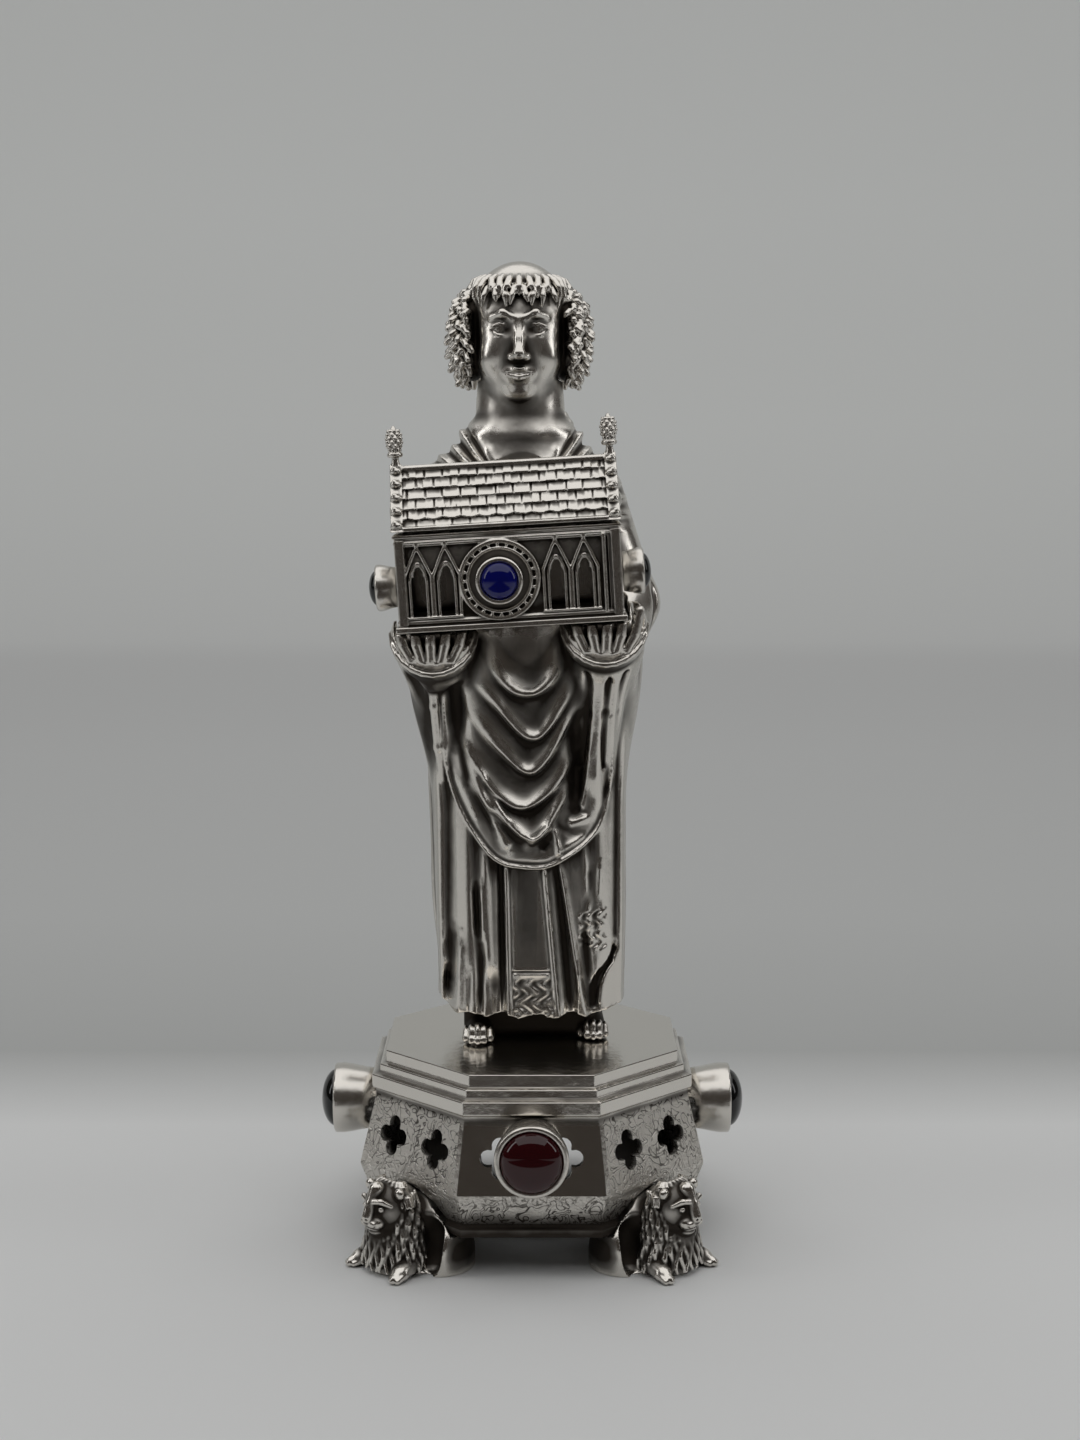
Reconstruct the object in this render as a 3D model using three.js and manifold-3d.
// A small silver reliquary statuette: a tonsured bearer in long vestments stands on an
// octagonal pierced plinth with four lion feet and holds out a house-shaped casket.
// Millimetres, +Z up, the front faces -Y, the origin is on the ground under the plinth's middle.
import * as THREE from "three";
import { mergeVertices } from "three/addons/utils/BufferGeometryUtils.js";
import Module from "manifold-3d";

const wasm = await Module();
wasm.setup();

// Plinth
const PLINTH_TOP = 32.5; // height of the floor that the figure stands on
const PLINTH_BOTTOM = 6.8; // underside of the bottom rim, carried by the lions
const TOP_WIDTH = 48; // across the flats of the top step
const RIDGE_WIDTH = 56.6; // across the flats at the frieze's lower ridge
const RIM_WIDTH = 54.2; // across the flats of the bottom rim
const STEP_RISE = 2; // height of the top step
const STEP_TREAD = 1; // how far each step stands out from the one above
const CORNICE_HEIGHT = 7; // the three steps and the cove under them
const FRIEZE_HEIGHT = 11.4; // sloping pierced wall, from the cove to the ridge
const WALL = 1.2; // thickness of the drum's wall
const QUATREFOIL = 6.4; // across the lobes
const QUATREFOIL_SPACING = 10; // between the two on one face
const ARCH_WIDTH = 19; // opening for a lion in a diagonal face's lower band
const GAP = 0.3; // between pieces that are soldered or set together

// Stones and their collars
const BIG_STONE = 9.9; // diameter of the plinth's cabochons
const SMALL_STONE = 5.6; // diameter of the casket's cabochons
const COLLAR_WALL = 0.8;
const BIG_COLLAR_REACH = 5.1; // how far a plinth collar's rim stands out beyond the ridge
const END_COLLAR_REACH = 3.2; // from the casket's end wall to the rim
const FRONT_COLLAR_REACH = 1.8; // from the casket's front wall to the rim
const DOME_SHARE = 0.27; // a cabochon's dome over its diameter
const STONE_HEIGHT = 21.3; // centre of the plinth's stones over the ground

// Lions
const LION_LENGTH = 19; // from the paws to the rump
const LION_REACH = 37; // from the axis to the tips of the paws

// Figure
const FIGURE_HEIGHT = 128.6; // from the plinth's top to the crown
const BODY_BACK = 2.5; // the body's axis stands this far behind the plinth's
const HEM = 5.2; // clearance under the robe
const ROBE_FOLD = 1.4; // depth of the standing folds
const MANTLE = 0.8; // how far the mantle stands out over the robe
const SWAG_CREST = 1; // radius of the cord of cloth along a swag

// Casket
const CASKET_LENGTH = 34.9;
const CASKET_DEPTH = 13;
const CASKET_SEAT = 103.4; // height of its underside over the ground, at its middle
const CASKET_WALL_HEIGHT = 15.4;
const CASKET_WALL = 0.9;
const CASKET_FRONT = 21; // from the axis to the casket's front wall
const CASKET_SHIFT = -3; // the casket is held a little to one side
const CASKET_ROLL = 3.4; // degrees, one end higher than the other
const ROOF_RISE = 9.4;
const EAVE = 0.8; // how far the roof stands out over the walls
const GABLE_THICKNESS = 2.3;
const FINIAL_HEIGHT = 6;
const COURSES = 6; // rows of shingles on each slope
const BASE_PLATE = 0.9;

const FACES = 8;
const FACE_ANGLE = (2 * Math.PI) / FACES;
const CORNER = 1 / Math.cos(FACE_ANGLE / 2);
const { sin, cos, abs, hypot, atan2, PI, exp, min, max, sign, sqrt } = Math;

// Materials
const silver = new THREE.MeshStandardMaterial({ color: 0xb9b5a8, metalness: 1, roughness: 0.28 });
const darkSilver = new THREE.MeshStandardMaterial({ color: 0x8b8677, metalness: 1, roughness: 0.4 });
const garnet = new THREE.MeshStandardMaterial({ color: 0x3a0710, metalness: 0, roughness: 0.06 });
const sapphire = new THREE.MeshStandardMaterial({ color: 0x0b1260, metalness: 0, roughness: 0.06 });
const onyx = new THREE.MeshStandardMaterial({ color: 0x07090a, metalness: 0, roughness: 0.06 });

// Turns a closed three.js geometry into a solid for joining and cutting.
function solid(geometry) {
  const bare = geometry.index ? geometry.toNonIndexed() : geometry.clone();
  bare.deleteAttribute("normal");
  bare.deleteAttribute("uv");
  const merged = mergeVertices(bare, 1e-4);
  return new wasm.Manifold(
    new wasm.Mesh({
      numProp: 3,
      vertProperties: merged.attributes.position.array,
      triVerts: new Uint32Array(merged.index.array),
    }),
  );
}

// Turns a joined or cut solid back into a named mesh, without the crumbs that a cut can leave.
function mesh(name, shape, material) {
  const bodies = shape.decompose().sort((a, b) => b.volume() - a.volume());
  const made = bodies[0].getMesh();
  const count = made.numProp;
  const positions = new Float32Array(made.numVert * 3);
  for (let i = 0; i < made.numVert; i++) {
    positions.set(made.vertProperties.subarray(i * count, i * count + 3), i * 3);
  }
  const geometry = new THREE.BufferGeometry();
  geometry.setAttribute("position", new THREE.BufferAttribute(positions, 3));
  geometry.setIndex(new THREE.BufferAttribute(made.triVerts, 1));
  geometry.computeVertexNormals();
  const piece = new THREE.Mesh(geometry, material);
  piece.name = name;
  return piece;
}

// Moves every vertex of a geometry to place(vertex).
function shaped(geometry, place) {
  const position = geometry.attributes.position;
  const point = new THREE.Vector3();
  for (let i = 0; i < position.count; i++) {
    point.fromBufferAttribute(position, i);
    place(point);
    position.setXYZ(i, point.x, point.y, point.z);
  }
  return geometry;
}

const joined = (shapes) => shapes.reduce((whole, shape) => whole.add(shape));

function smooth(low, high, value) {
  const t = min(1, max(0, (value - low) / (high - low)));
  return t * t * (3 - 2 * t);
}

// Smooth curve through [position, value] stops.
function along(stops, position) {
  for (let i = 1; i < stops.length; i++) {
    if (position <= stops[i][0]) {
      const [low, from] = stops[i - 1];
      const [high, to] = stops[i];
      return from + (to - from) * smooth(low, high, position);
    }
  }
  return stops[stops.length - 1][1];
}

const bump = (value, centre, width) => exp(-(((value - centre) / width) ** 2));

// Turned solid with `sides` flats. The profile is [half width, height] pairs, from the lower axis to the upper.
function turned(profile, sides = FACES) {
  const corner = 1 / cos(PI / sides);
  const points = profile.map(([r, z]) => new THREE.Vector2(r * corner, z));
  return solid(new THREE.LatheGeometry(points, sides, PI / sides).rotateX(PI / 2));
}

// Turned ring or dome with many sides, its axis along +Z.
function round(profile, sides) {
  const points = profile.map(([r, z]) => new THREE.Vector2(r, z));
  return solid(new THREE.LatheGeometry(points, sides).rotateX(PI / 2));
}

function ball(x, y, z, rx, ry, rz, turn = 0, detail = [8, 6]) {
  const geometry = new THREE.SphereGeometry(1, ...detail).rotateX(PI / 2);
  return solid(geometry.scale(rx, ry, rz).rotateZ(turn).translate(x, y, z));
}

// Rounded bar between two points, with its own radius at each end.
function limb(from, to, fromRadius, toRadius, sides = 8) {
  const a = new THREE.Vector3(...from);
  const b = new THREE.Vector3(...to);
  const length = a.distanceTo(b);
  const geometry = new THREE.CapsuleGeometry(1, length, 1, sides);
  shaped(geometry, (p) => {
    const t = min(1, max(0, p.y / length + 0.5));
    const r = fromRadius + (toRadius - fromRadius) * t;
    const end = p.y - (t - 0.5) * length;
    p.set(p.x * r, (t - 0.5) * length + end * r, p.z * r);
  });
  const turn = new THREE.Quaternion().setFromUnitVectors(
    new THREE.Vector3(0, 1, 0),
    b.clone().sub(a).normalize(),
  );
  geometry.applyQuaternion(turn);
  const middle = a.add(b).multiplyScalar(0.5);
  return solid(geometry.translate(middle.x, middle.y, middle.z));
}

// Half width of the plinth's wall at the height of the frieze.
const CORNICE_FOOT = PLINTH_TOP - CORNICE_HEIGHT;
const RIDGE_HEIGHT = CORNICE_FOOT - FRIEZE_HEIGHT;
const FRIEZE_TOP_HALF = TOP_WIDTH / 2 + 1.6 * STEP_TREAD;
const FRIEZE_LEAN = (RIDGE_WIDTH / 2 - FRIEZE_TOP_HALF) / FRIEZE_HEIGHT;
const friezeHalf = (z) => FRIEZE_TOP_HALF + (CORNICE_FOOT - z) * FRIEZE_LEAN;

function plinth() {
  const top = TOP_WIDTH / 2;
  const rimHeight = 1.5;
  const outer = turned([
    [0, PLINTH_BOTTOM],
    [RIM_WIDTH / 2, PLINTH_BOTTOM],
    [RIM_WIDTH / 2, PLINTH_BOTTOM + rimHeight],
    [RIM_WIDTH / 2 - 0.6, PLINTH_BOTTOM + rimHeight + 0.3],
    [RIDGE_WIDTH / 2, RIDGE_HEIGHT - 0.4],
    [RIDGE_WIDTH / 2, RIDGE_HEIGHT],
    [FRIEZE_TOP_HALF, CORNICE_FOOT],
    [top + 1.7 * STEP_TREAD, CORNICE_FOOT + 0.7],
    [top + 2.3 * STEP_TREAD, CORNICE_FOOT + 1.1],
    [top + 2.3 * STEP_TREAD, PLINTH_TOP - 1.9 * STEP_RISE],
    [top + 1.3 * STEP_TREAD, PLINTH_TOP - 1.8 * STEP_RISE],
    [top + STEP_TREAD, PLINTH_TOP - 1.1 * STEP_RISE],
    [top, PLINTH_TOP - STEP_RISE],
    [top, PLINTH_TOP - 0.3],
    [top - 0.3, PLINTH_TOP],
    [0, PLINTH_TOP],
  ]);
  const hollow = turned([
    [0, PLINTH_BOTTOM - 1],
    [RIM_WIDTH / 2 - WALL - 0.6, PLINTH_BOTTOM - 1],
    [RIM_WIDTH / 2 - WALL - 0.6, PLINTH_BOTTOM + rimHeight],
    [RIDGE_WIDTH / 2 - WALL, RIDGE_HEIGHT],
    [FRIEZE_TOP_HALF - WALL, CORNICE_FOOT],
    [top - WALL, PLINTH_TOP - STEP_RISE],
    [0, PLINTH_TOP - STEP_RISE],
  ]);
  let body = outer.subtract(hollow);
  for (let face = 0; face < FACES; face++) {
    const turn = face * FACE_ANGLE;
    body = body.subtract(quatrefoil(-QUATREFOIL_SPACING / 2, turn));
    body = body.subtract(quatrefoil(QUATREFOIL_SPACING / 2, turn));
    if (face % 2) body = body.subtract(lionArch(turn, 0));
  }
  return mesh("plinth", body, silver);
}

// Four-lobed hole through the frieze, at an offset along the face that is turned from the front.
function quatrefoil(offset, turn) {
  const lobe = QUATREFOIL * 0.21;
  const reach = QUATREFOIL / 2 - lobe;
  const shape = new THREE.Shape();
  for (let i = 0; i < 16; i++) {
    const middle = (Math.floor(i / 4) * PI) / 2;
    const angle = middle + PI * (0.4 * (i % 4) - 0.6);
    const x = reach * cos(middle) + lobe * cos(angle);
    const y = reach * sin(middle) + lobe * sin(angle);
    if (i) shape.lineTo(x, y);
    else shape.moveTo(x, y);
  }
  const depth = 4 * WALL;
  const height = (CORNICE_FOOT + RIDGE_HEIGHT) / 2;
  const geometry = new THREE.ExtrudeGeometry(shape, { depth, bevelEnabled: false });
  geometry.rotateX(PI / 2);
  geometry.translate(offset, -(friezeHalf(height) - 2.5 * WALL), height);
  return solid(geometry.rotateZ(turn));
}

// Round-headed block that a lion's back fills in a diagonal face's lower band. `slack` shrinks it.
function lionArch(turn, slack) {
  const half = ARCH_WIDTH / 2 - slack;
  const rise = RIDGE_HEIGHT - 0.9 - slack;
  const depth = 13;
  const geometry = new THREE.CylinderGeometry(1, 1, depth, 14, 1);
  geometry.scale(half, 1, rise).translate(0, -(RIDGE_WIDTH / 2 - depth / 2 + 3), 0);
  return solid(geometry.rotateZ(turn));
}

// Collar and domed stone, both turned about +Z with their seat at the origin.
function collarProfile(stone, reach) {
  const inner = stone / 2 + 0.1;
  const outer = inner + COLLAR_WALL;
  return [
    [0.5 * inner, 0],
    [0.82 * outer, 0],
    [outer, 0.7 * reach],
    [outer, reach],
    [inner + 0.1, reach],
    [inner + 0.1, 0.7 * reach],
    [0.5 * inner, 0.7 * reach],
    [0.5 * inner, 0],
  ];
}

function stoneProfile(stone, reach) {
  const r = stone / 2 - 0.15;
  const seat = 0.7 * reach + 0.1;
  const dome = stone * DOME_SHARE;
  const profile = [
    [0, seat],
    [r, seat],
  ];
  for (let i = 0; i <= 2; i++) {
    const angle = (i / 3) * (PI / 2);
    profile.push([r * cos(angle), 0.95 * reach + dome * sin(angle)]);
  }
  profile.push([0, 0.95 * reach + dome]);
  return profile;
}

// Points the +Z of a turned piece out of a wall, `turn` about +Z from the front.
function facing(shape, turn, distance, height) {
  return shape
    .rotate([90, 0, 0])
    .translate([0, -distance, height])
    .rotate([0, 0, (turn * 180) / PI]);
}

function plinthStones() {
  const sides = 12;
  const wallHalf = friezeHalf(STONE_HEIGHT + BIG_STONE / 2) - 0.1;
  const reach = RIDGE_WIDTH / 2 + BIG_COLLAR_REACH - wallHalf;
  const wall = turned([
    [0, 0],
    [RIDGE_WIDTH / 2 + GAP, 0],
    [RIDGE_WIDTH / 2 + GAP, RIDGE_HEIGHT],
    [FRIEZE_TOP_HALF + GAP, CORNICE_FOOT],
    [TOP_WIDTH / 2 + 2.3 * STEP_TREAD + GAP, CORNICE_FOOT + 0.9],
    [TOP_WIDTH / 2 + 2.3 * STEP_TREAD + GAP, PLINTH_TOP],
    [0, PLINTH_TOP],
  ]);
  const names = ["front", "right", "back", "left"];
  const cuts = [garnet, onyx, garnet, onyx];
  return names.flatMap((side, i) => {
    const turn = (i * PI) / 2;
    const place = (profile) => facing(round(profile, sides), turn, wallHalf, STONE_HEIGHT);
    const collar = place(collarProfile(BIG_STONE, reach)).subtract(wall);
    return [
      mesh("plinth_collar_" + side, collar, silver),
      mesh("plinth_stone_" + side, place(stoneProfile(BIG_STONE, reach)), cuts[i]),
    ];
  });
}

// Crouching lion, made facing the front: face, mane and paws stand clear of the plinth, the back fills the arch.
function lion(name, turn) {
  const k = LION_LENGTH / 19;
  const at = (r) => -(LION_REACH - (37 - r) * k);
  const shapes = [
    ball(0, at(31.2), 6.4 * k, 4.9 * k, 3.4 * k, 6.6 * k, 0, [7, 5]),
    ball(0, at(32.6), 9.9 * k, 3.9 * k, 2.6 * k, 3.9 * k, 0, [7, 4]),
    ball(0, at(34.6), 9 * k, 1.7 * k, 1.6 * k, 1.7 * k, 0, [5, 4]),
    ball(0, at(25.5), 2 * k, 10.4 * k, 7.4 * k, 12 * k, 0, [10, 6]),
  ];
  for (const side of [-1, 1]) {
    shapes.push(limb([side * 3.8 * k, at(30), 2.4 * k], [side * 4 * k, at(35.2), 1.2 * k], 2 * k, 1.6 * k, 4));
    shapes.push(ball(side * 6.4 * k, at(24.8), 3.2 * k, 2.6 * k, 4.4 * k, 3.9 * k, 0, [6, 4]));
    shapes.push(ball(side * 3.3 * k, at(31.8), 13 * k, 1.1 * k, 0.9 * k, 1.1 * k, 0, [4, 3]));
    for (let i = 0; i < 2; i++) {
      const from = [side * (1.3 + 2 * i) * k, at(34 - 0.6 * i), (7.4 + 1.4 * i) * k];
      const to = [side * (1.6 + 2.5 * i) * k, at(33.4 - 0.6 * i), (2.6 + 1.4 * i) * k];
      shapes.push(limb(from, to, 1.1 * k, 0.5 * k, 3));
    }
  }
  const ground = box(60, 60, 30, 0, -LION_REACH);
  const clear = turned([
    [0, PLINTH_BOTTOM - GAP],
    [RIM_WIDTH / 2 + GAP, PLINTH_BOTTOM - GAP],
    [RIDGE_WIDTH / 2 + GAP, RIDGE_HEIGHT],
    [RIDGE_WIDTH / 2 + GAP, PLINTH_TOP],
    [0, PLINTH_TOP],
  ]).subtract(lionArch(0, GAP));
  const body = joined(shapes).subtract(clear).intersect(ground);
  return mesh(name, body.rotate([0, 0, (turn * 180) / PI]), darkSilver);
}

function lions() {
  const corners = ["front_right", "back_right", "back_left", "front_left"];
  return corners.map((corner, i) => lion("lion_" + corner, PI / 4 + (i * PI) / 2));
}

// Casket, made level with its underside at the origin, then rolled and lifted into place.
function carried(shape) {
  return shape
    .rotate([0, -CASKET_ROLL, 0])
    .translate([CASKET_SHIFT, CASKET_DEPTH / 2 - CASKET_FRONT, CASKET_SEAT]);
}

function box(width, depth, height, x = 0, y = 0, z = 0) {
  return solid(new THREE.BoxGeometry(width, depth, height).translate(x, y, z + height / 2));
}

// Flat plate with an outline in the X-Z plane, its front at y and its back `thickness` behind it.
function plate(outline, thickness, y, curveSegments = 6) {
  const settings = { depth: thickness, bevelEnabled: false, curveSegments };
  return solid(new THREE.ExtrudeGeometry(outline, settings).rotateX(PI / 2).translate(0, y + thickness, 0));
}

// Pointed frame of a blind arch on the casket's front.
function lancet(centre, width, foot, height) {
  const outline = (half, top) => {
    const shape = new THREE.Shape();
    const spring = foot + height * 0.62;
    shape.moveTo(centre - half, foot);
    shape.lineTo(centre + half, foot);
    shape.lineTo(centre + half, spring);
    shape.quadraticCurveTo(centre + half * 0.9, spring + (top - spring) * 0.6, centre, top);
    shape.quadraticCurveTo(centre - half * 0.9, spring + (top - spring) * 0.6, centre - half, spring);
    return shape;
  };
  const front = -CASKET_DEPTH / 2 - 0.5;
  const frame = plate(outline(width / 2, foot + height), 0.9, front, 3);
  return frame.subtract(plate(outline(width / 2 - 0.55, foot + height - 0.8), 0.5, front - 0.1, 3));
}

function casketBox() {
  const length = CASKET_LENGTH;
  const wall = CASKET_WALL;
  const shapes = [
    box(length, CASKET_DEPTH, CASKET_WALL_HEIGHT),
    box(length + 1.2, CASKET_DEPTH + 1.2, BASE_PLATE),
    box(length + 0.6, CASKET_DEPTH + 0.6, 0.6, 0, 0, BASE_PLATE + 0.5),
    box(length + 0.5, CASKET_DEPTH + 0.5, 0.7, 0, 0, CASKET_WALL_HEIGHT - 1.4),
  ];
  for (const end of [-1, 1]) {
    shapes.push(box(1.7, CASKET_DEPTH + 0.9, CASKET_WALL_HEIGHT - 2, end * (length / 2 - 0.85), 0, 1.4));
    for (const place of [0.345, 0.235]) {
      shapes.push(lancet(end * place * length - 0.6, 3.6, 2, 10.6));
    }
  }
  const medallion = round([[0, 0], [6.1, 0], [6.1, 0.5], [5.4, 0.8], [0, 0.8]], 20);
  const placed = medallion.rotate([90, 0, 0]).translate([-1.5, 0.1 - CASKET_DEPTH / 2, 7.5]);
  const hollow = box(length - 2 * wall, CASKET_DEPTH - 2 * wall, CASKET_WALL_HEIGHT, 0, 0, wall + 0.4);
  return mesh("casket_box", carried(joined(shapes).add(placed).subtract(hollow)), silver);
}

// The roof's end profile: a gable whose slopes step down in courses.
function slopes(half, rise, steps, lap) {
  const shape = new THREE.Shape();
  shape.moveTo(-half, 0);
  shape.lineTo(half, 0);
  for (let side = 1; side >= -1; side -= 2) {
    for (let i = 0; i < steps; i++) {
      const course = side > 0 ? i : steps - 1 - i;
      const low = half * (1 - course / steps);
      const high = half * (1 - (course + 1) / steps);
      const base = (rise * course) / steps;
      const top = (rise * (course + 1)) / steps;
      const stops = [
        [low + lap * 0.4, base + lap],
        [high, top],
      ];
      if (side < 0) stops.reverse();
      if (side < 0 && i === 0) stops.shift();
      for (const [y, z] of stops) shape.lineTo(side * y, z);
    }
  }
  return shape;
}

function acrossRoof(outline, length, x = 0) {
  const geometry = new THREE.ExtrudeGeometry(outline, { depth: length, bevelEnabled: false });
  geometry.rotateX(PI / 2).rotateZ(PI / 2);
  return solid(geometry.translate(x - length / 2, 0, 0));
}

function finial() {
  const h = FINIAL_HEIGHT;
  const profile = [
    [0, -0.8], [0.8, -0.8], [0.7, 0.12 * h], [1.35, 0.2 * h], [1.35, 0.28 * h], [0.8, 0.34 * h],
    [1.3, 0.5 * h], [1.2, 0.7 * h], [0.6, 0.9 * h], [0, h],
  ];
  return round(profile, 8);
}

function casketRoof() {
  const seat = CASKET_WALL_HEIGHT + GAP;
  const half = CASKET_DEPTH / 2 + EAVE;
  const span = CASKET_LENGTH - 0.6;
  const shapes = [
    acrossRoof(slopes(half, ROOF_RISE, COURSES, 0.35), span),
    box(CASKET_LENGTH + 1.2, CASKET_DEPTH + 1.8, 0.8),
    box(span, 0.9, 0.9, 0, 0, ROOF_RISE - 0.5),
  ];
  const gable = slopes(half + 0.5, ROOF_RISE + 1, COURSES, 0.5);
  for (const end of [-1, 1]) {
    const x = end * (CASKET_LENGTH / 2 - GABLE_THICKNESS / 2 + 0.5);
    shapes.push(acrossRoof(gable, GABLE_THICKNESS, x));
    shapes.push(finial().translate([x, 0, ROOF_RISE + 0.8]));
  }
  const thin = CASKET_WALL + 0.5;
  const inner = new THREE.Shape();
  const innerHalf = half - thin - 0.4;
  inner.moveTo(-innerHalf, -1).lineTo(innerHalf, -1).lineTo(innerHalf, 0.2);
  inner.lineTo(0, ROOF_RISE - thin - 0.9).lineTo(-innerHalf, 0.2);
  const roof = joined(shapes).subtract(acrossRoof(inner, CASKET_LENGTH - 2 * GABLE_THICKNESS));
  return mesh("casket_roof", carried(roof.translate([0, 0, seat])), silver);
}

function casketStones() {
  const sides = 12;
  const settings = [
    ["front", 0, CASKET_DEPTH / 2 + 0.9 + GAP, [-1.5, 0, 7.5], FRONT_COLLAR_REACH, sapphire],
    ["right", PI / 2, CASKET_LENGTH / 2 + GAP, [0, 0, 7], END_COLLAR_REACH, onyx],
    ["left", -PI / 2, CASKET_LENGTH / 2 + GAP, [0, 0, 7], END_COLLAR_REACH, onyx],
  ];
  return settings.flatMap(([side, turn, distance, shift, reach, cut]) => {
    const place = (profile) => carried(facing(round(profile, sides), turn, distance, 0).translate(shift));
    return [
      mesh("casket_collar_" + side, place(collarProfile(SMALL_STONE, reach)), silver),
      mesh("casket_stone_" + side, place(stoneProfile(SMALL_STONE, reach)), cut),
    ];
  });
}

// Bearer. Its own sizes are for a figure 128.6 tall, and named sizes are brought to that scale with own().
const UNIT = FIGURE_HEIGHT / 128.6;
const own = (size) => size / UNIT;
const back = own(BODY_BACK);

// The body leans a little to one side as it rises.
const leanX = (h) => -2 * smooth(0, 110, h);

const HALF_WIDTH = [[5, 15.2], [30, 16], [50, 16.3], [70, 15.6], [88, 15.4], [95, 14.2], [100, 9], [104, 5.8], [110, 5.4]];
const HALF_DEPTH = [[5, 10.6], [30, 10.6], [50, 10.4], [70, 9.8], [88, 8.8], [95, 7.8], [100, 6.6], [104, 5.6], [110, 5.2]];

// Height of the mantle's hem across the front.
const MANTLE_EDGE = [
  [-15.5, 56], [-14.3, 47.5], [-12, 40], [-10, 36], [-6.3, 31.2], [-1, 30.2], [2, 30.2], [5, 31], [9, 34], [11.7, 37],
  [12.8, 43], [14, 54],
];

// Swags that hang between the hands: middle, lowest height, slope to the left and right, reach to the left and right.
const SWAGS = [
  [0, 59.2, 1.2, 1.6, 6.5, 5],
  [0.6, 52.7, 1.25, 1.7, 9.4, 6.2],
  [-0.8, 46.7, 1.5, 1.7, 9.6, 8.8],
  [-1.2, 40.4, 1.38, 1.5, 10, 9.4],
  [-0.4, 36, 1.3, 1.6, 11, 7],
];

// Height of a swag at x: a rounded V that hangs from the hands.
function swagHeight([middle, low, left, right], x) {
  const slope = x < middle ? left : right;
  return low + hypot(slope * (x - middle), 2) - 2;
}

// Standing and hanging folds of the vestments: how far the cloth stands out at an angle from the front.
function folds(angle, h, x) {
  const front = smooth(0.1, 0.5, cos(angle));
  const robe = ROBE_FOLD * (0.6 * cos(9 * angle + 0.4) + 0.4 * cos(15 * angle - 1)) * (1 - smooth(80, 96, h));
  const over = smooth(-0.2, 0.9, h - along(MANTLE_EDGE, x)) * front * (1 - smooth(84, 96, h));
  const hung = 4.2 * smooth(40, 66, h) * (1 - smooth(72, 80, h)) * front;
  const stole = 0.6 * (1 - smooth(3.6, 4.4, abs(x + 1))) * front;
  const sideFold = 1.6 * bump(x, 10.4, 1.7) * smooth(38, 44, h) * (1 - smooth(64, 70, h)) * front;
  return robe * (1 - 0.8 * over) + over * MANTLE + hung + sideFold + stole * (1 - over);
}

// Angles round the body, closer together over the front.
function aroundBody(columns) {
  const angles = [];
  for (let i = 0; i < columns; i++) {
    const t = (i / columns) * 2 * PI - PI;
    angles.push(t - 0.42 * sin(t));
  }
  return angles;
}

function vestments() {
  const columns = 30;
  const angles = aroundBody(columns);
  const heights = [own(HEM), 12, 21, 29.6];
  for (let h = 31; h < 64; h += 6.4) heights.push(h);
  heights.push(66, 72, 81, 89, 95, 99, 103, 108);
  const rows = heights.length;
  const geometry = new THREE.CylinderGeometry(1, 1, 1, columns, rows - 1);
  shaped(geometry, (p) => {
    const h = heights[Math.round((p.y + 0.5) * (rows - 1))];
    const middle = hypot(p.x, p.z) < 0.5;
    const turn = atan2(p.x, p.z);
    const angle = angles[((Math.round(((turn + PI) / (2 * PI)) * columns) % columns) + columns) % columns];
    const [x, y] = middle ? [leanX(h), back] : onBody(angle, h);
    p.set(x, y, h);
  });
  return solid(geometry);
}

// Point of the vestments at an angle from the front, `out` beyond the cloth.
function onBody(angle, h, out = 0) {
  const a = along(HALF_WIDTH, h);
  const b = along(HALF_DEPTH, h);
  const square = 1 + 0.05 * (1 - cos(4 * angle)) * (1 - smooth(88, 98, h));
  const f = folds(angle, h, leanX(h) + a * square * sin(angle)) + out;
  return [leanX(h) + (a * square + f) * sin(angle), back - (b * square + f) * cos(angle)];
}

// Bars of cloth along each swag's crest.
function swags() {
  const shapes = [];
  for (const swag of SWAGS) {
    const [middle, , , , reachLeft, reachRight] = swag;
    const stops = [-reachLeft, -0.4 * reachLeft, 0, 0.4 * reachRight, reachRight].map((across) => {
      const h = swagHeight(swag, middle + across);
      const angle = Math.asin((middle + across - leanX(h)) / along(HALF_WIDTH, h));
      const [x, y] = onBody(angle, h, 0.2);
      return [x, y, h];
    });
    for (let i = 1; i < stops.length; i++) {
      const [from, to] = [stops[i - 1], stops[i]];
      const ends = [i === 1 ? 0.5 : 1, i === stops.length - 1 ? 0.5 : 1];
      shapes.push(limb(from, to, SWAG_CREST * ends[0], SWAG_CREST * ends[1], 4));
    }
  }
  return shapes;
}

function head() {
  const x = leanX(117);
  const y = back - 2;
  const shapes = [
    ball(x, y - 0.8, 115.6, 8.1, 8.4, 10.1, 0, [10, 7]),
    ball(x, y + 1.2, 118.6, 10, 9.4, 9.8, 0, [10, 7]),
    limb([x, y - 8.4, 117.4], [x, y - 9.6, 113.4], 0.8, 1.3, 6),
    ball(x, y - 6.3, 107.8, 2.8, 1.9, 2),
    ball(x, y - 8.3, 110.7, 2.2, 1, 0.7, 0, [6, 4]),
    limb([x - 4.6, y - 7.4, 118.2], [x - 1.6, y - 8.4, 118.6], 0.7, 0.7, 4),
    limb([x + 4.6, y - 7.4, 118.2], [x + 1.6, y - 8.4, 118.6], 0.7, 0.7, 4),
  ];
  const curls = 11;
  for (let i = 0; i < curls; i++) {
    const angle = ((i + 0.5) / curls) * 2 * PI;
    const front = bump(angle, PI, 0.9);
    const low = 117.5 + 4.6 * front - 1.5 * (1 - front);
    const cx = x + 9.6 * sin(angle + PI) * -1;
    const cy = y + 1.2 + 9.2 * cos(angle) * (1 - 0.06 * front);
    shapes.push(ball(cx, cy, low, 2.7, 2.3, 4.2 - 1.6 * front, PI - angle, [5, 4]));
  }
  shapes.push(limb([leanX(104), back - 0.5, 98], [x, y, 110], 5.6, 5.4, 9));
  return shapes;
}

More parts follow.
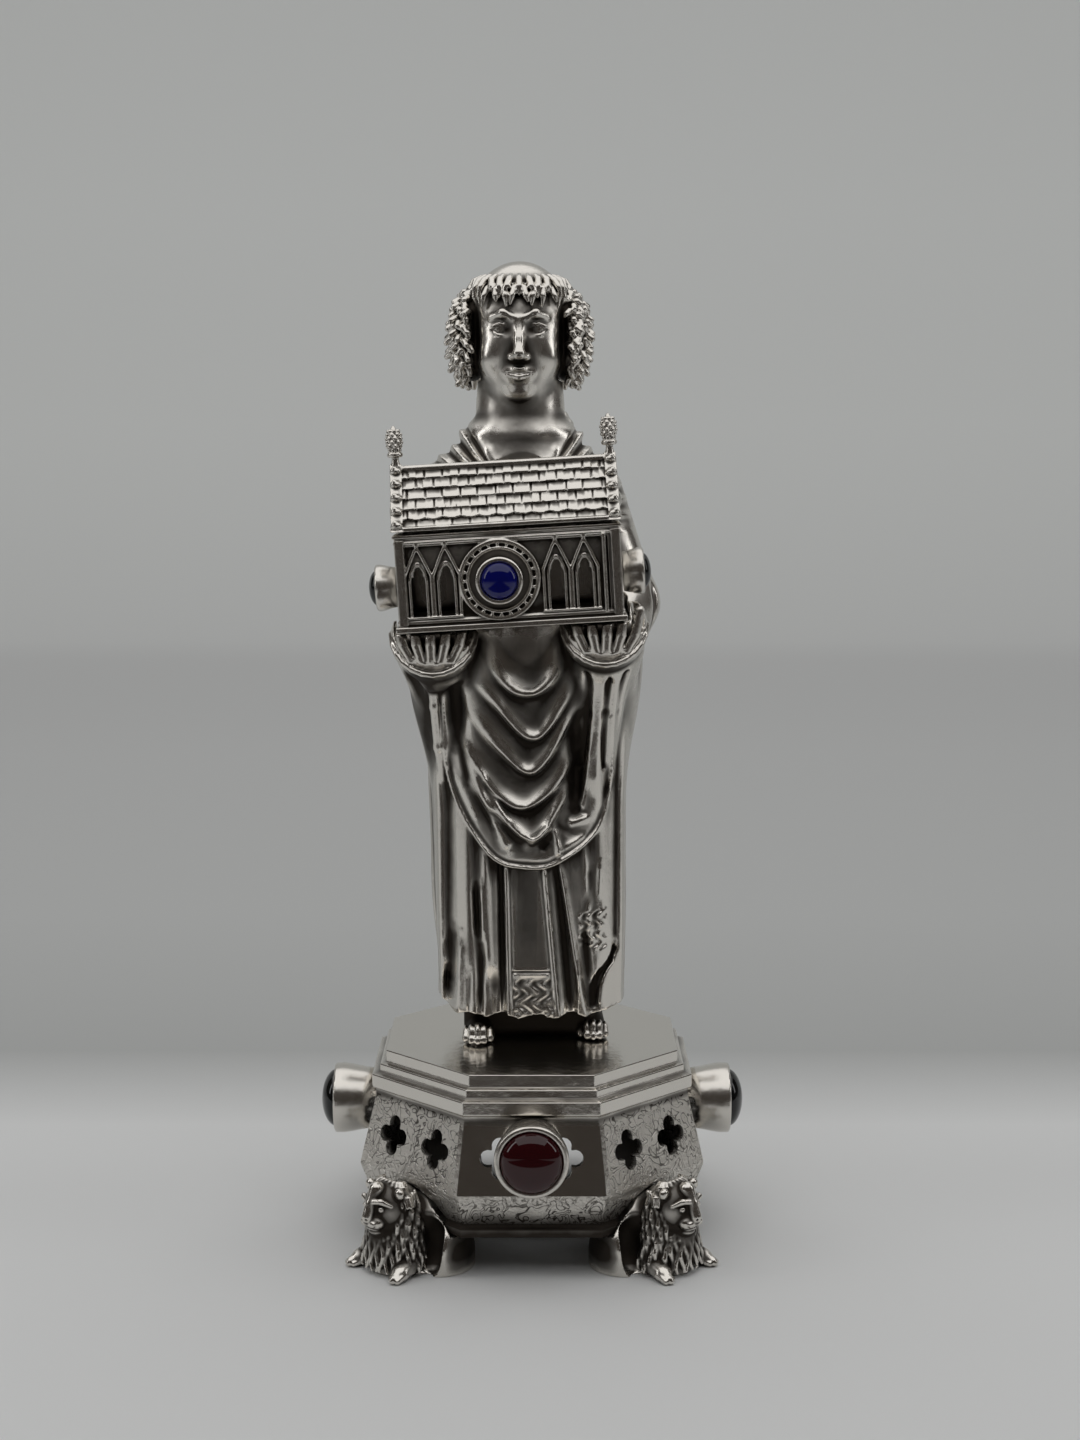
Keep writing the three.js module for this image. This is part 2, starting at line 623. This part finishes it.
// Sleeve, cuff and hand on one side: -1 the viewer's left, 1 the viewer's right.
function arm(side) {
  const lift = (side > 0 ? own(CASKET_SEAT - PLINTH_TOP) - 69.9 : own(CASKET_SEAT - PLINTH_TOP) - 71.5) + 0.6;
  const mid = own(CASKET_SHIFT) + side * own(CASKET_LENGTH) * 0.37 + (side > 0 ? 1.6 : 0.4);
  const front = own(CASKET_DEPTH / 2 - CASKET_FRONT) + 0.4;
  const shoulder = [leanX(90) + side * 11.6, back + 0.5, 91];
  const elbow = [leanX(70) + side * 15.6 + 1, back - 2, 73];
  const wrist = [mid, front + 3, 65 + lift];
  const shapes = [
    limb(shoulder, elbow, 5.2, 5.6, 7),
    limb(elbow, wrist, 5.6, 5.4, 7),
    ball(mid, front, 68.4 + lift, 6.9, 6.4, 6.8, 0, [9, 6]),
    limb([mid, front + 4, 63], [leanX(50) + side * 12, back - 7.4, 46], 4.4, 2.4, 7),
    limb([mid + side * 2, front + 5, 66], [leanX(50) + side * 13.4, back - 1, 50], 4.4, 2.6, 7),
  ];
  for (let i = -1.5; i <= 1.5; i++) {
    const from = [mid + i * 2, front - 4.4, 64.6 + lift + 0.4 * abs(i)];
    const to = [mid + i * 2.9, front - 6, 70 + lift];
    shapes.push(limb(from, to, 0.8, 1.1, 3));
  }
  return shapes;
}

function feet() {
  const shapes = [];
  for (const [x, tip, turn] of [[-9, -9.2, -0.12], [10.2, -6.4, 0.12]]) {
    shapes.push(ball(x, tip + 8, 1.6, 3.6, 8, 3.4, turn, [7, 4]));
    shapes.push(limb([x * 0.95, tip + 10, 1], [x * 0.85, tip + 11, 12], 3.2, 3.6, 6));
    for (let i = -1.5; i <= 1.5; i++) {
      shapes.push(ball(x + i * 1.5, tip + 1.3 + 0.25 * abs(i), 1.1, 0.9, 1.3, 1.1, 0, [5, 3]));
    }
  }
  return shapes;
}

function bearer() {
  const collar = [-1, 1].map((side) =>
    limb([leanX(95) + side * 6.4, back - 2.4, 101.4], [leanX(95), back - 9.4, 92.5], 2, 1.5, 7),
  );
  const shapes = [vestments(), ...swags(), ...collar, ...head(), ...arm(-1), ...arm(1), ...feet()];
  const floor = box(90, 90, 200);
  const slack = GAP + 0.1;
  const width = CASKET_LENGTH + 1.2 + 2 * slack;
  const seat = box(width, CASKET_DEPTH + 1.2 + 2 * slack, 40, 0, 0, -slack);
  const ends = box(CASKET_LENGTH + 14, SMALL_STONE + 5, SMALL_STONE + 4, 0, 0, 7 - SMALL_STONE / 2 - 2);
  const body = joined(shapes)
    .intersect(floor)
    .scale([UNIT, UNIT, UNIT])
    .translate([0, 0, PLINTH_TOP + GAP])
    .subtract(carried(seat.add(ends)));
  return mesh("bearer", body, silver);
}

const group = new THREE.Group();
group.add(plinth(), ...plinthStones(), ...lions());
group.add(bearer(), casketBox(), casketRoof(), ...casketStones());

export default group;
